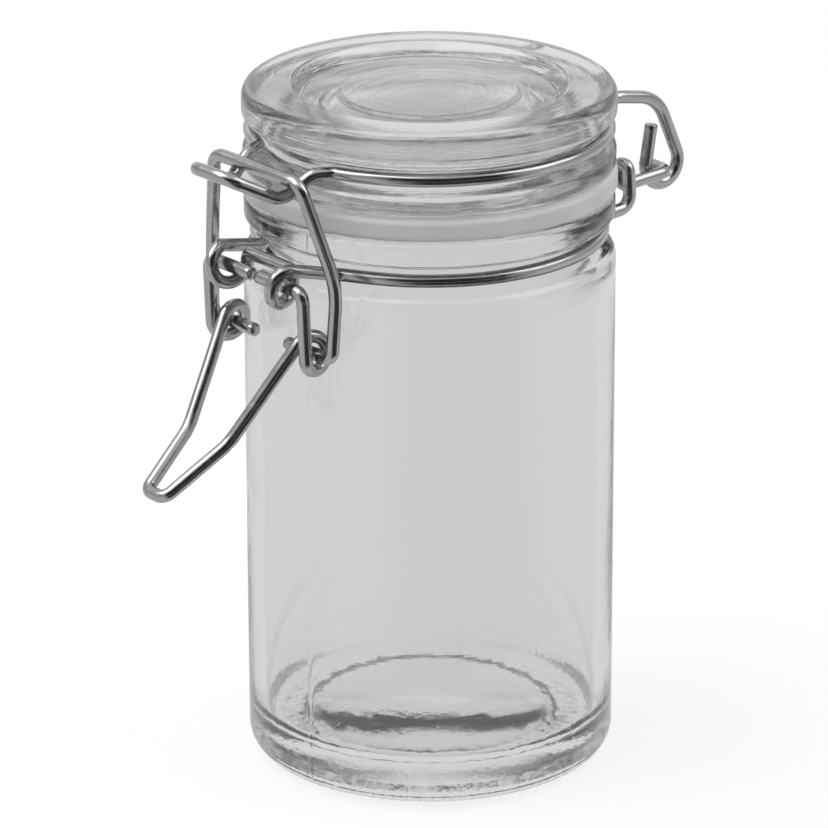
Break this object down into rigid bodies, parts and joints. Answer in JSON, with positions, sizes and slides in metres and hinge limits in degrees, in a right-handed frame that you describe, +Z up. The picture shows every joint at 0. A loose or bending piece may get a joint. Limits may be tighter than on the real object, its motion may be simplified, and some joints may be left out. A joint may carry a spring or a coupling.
{
  "type": "clip-top jar",
  "caption": "Small straight glass food jar with a recessed glass lid on a wire hinge, a sealing ring, and an over-centre wire latch with a folding handle.",
  "frame": {"origin": "middle of the object's bounding box, on the plane it stands on; the jar's own axis is 4.4 mm behind it, at x = 0, y = +4.4 mm", "axes": "+Z up the jar, -Y towards the latch, +Y towards the hinge, +X along the hinge and pivot axes"},
  "size_m": [0.0504, 0.0867, 0.0948],
  "materials": {
    "jar_glass": "clear pressed soda-lime glass, faintly grey",
    "lid_glass": "clear pressed soda-lime glass, faintly grey",
    "gasket": "translucent pale silicone, satin",
    "wire": "bright drawn steel wire"
  },
  "bodies": {
    "jar": {"jar_body": "jar_glass", "neck_band": "wire"},
    "lid": {"lid": "lid_glass", "gasket": "gasket", "lid_bail": "wire"},
    "lever": {"latch_lever": "wire"},
    "link": {"latch_link": "wire"}
  },
  "joints": [
    {"name": "lid_hinge", "type": "hinge", "parent": "jar", "child": "lid", "pos_m": [0, 0.03885, 0.0775], "axis": [-1, 0, 0], "range_deg": [0, 200]},
    {"name": "lever_pivot", "type": "hinge", "parent": "jar", "child": "lever", "pos_m": [0, -0.0254, 0.0741], "axis": [-1, 0, 0], "range_deg": [0, 110]},
    {"name": "link_pivot", "type": "hinge", "parent": "lever", "child": "link", "pos_m": [0, -0.0228, 0.065], "axis": [-1, 0, 0], "range_deg": [-73, 0]}
  ],
  "couplings": [
    {"joint": "link_pivot", "follows": "lever_pivot", "ratio": -0.66}
  ]
}
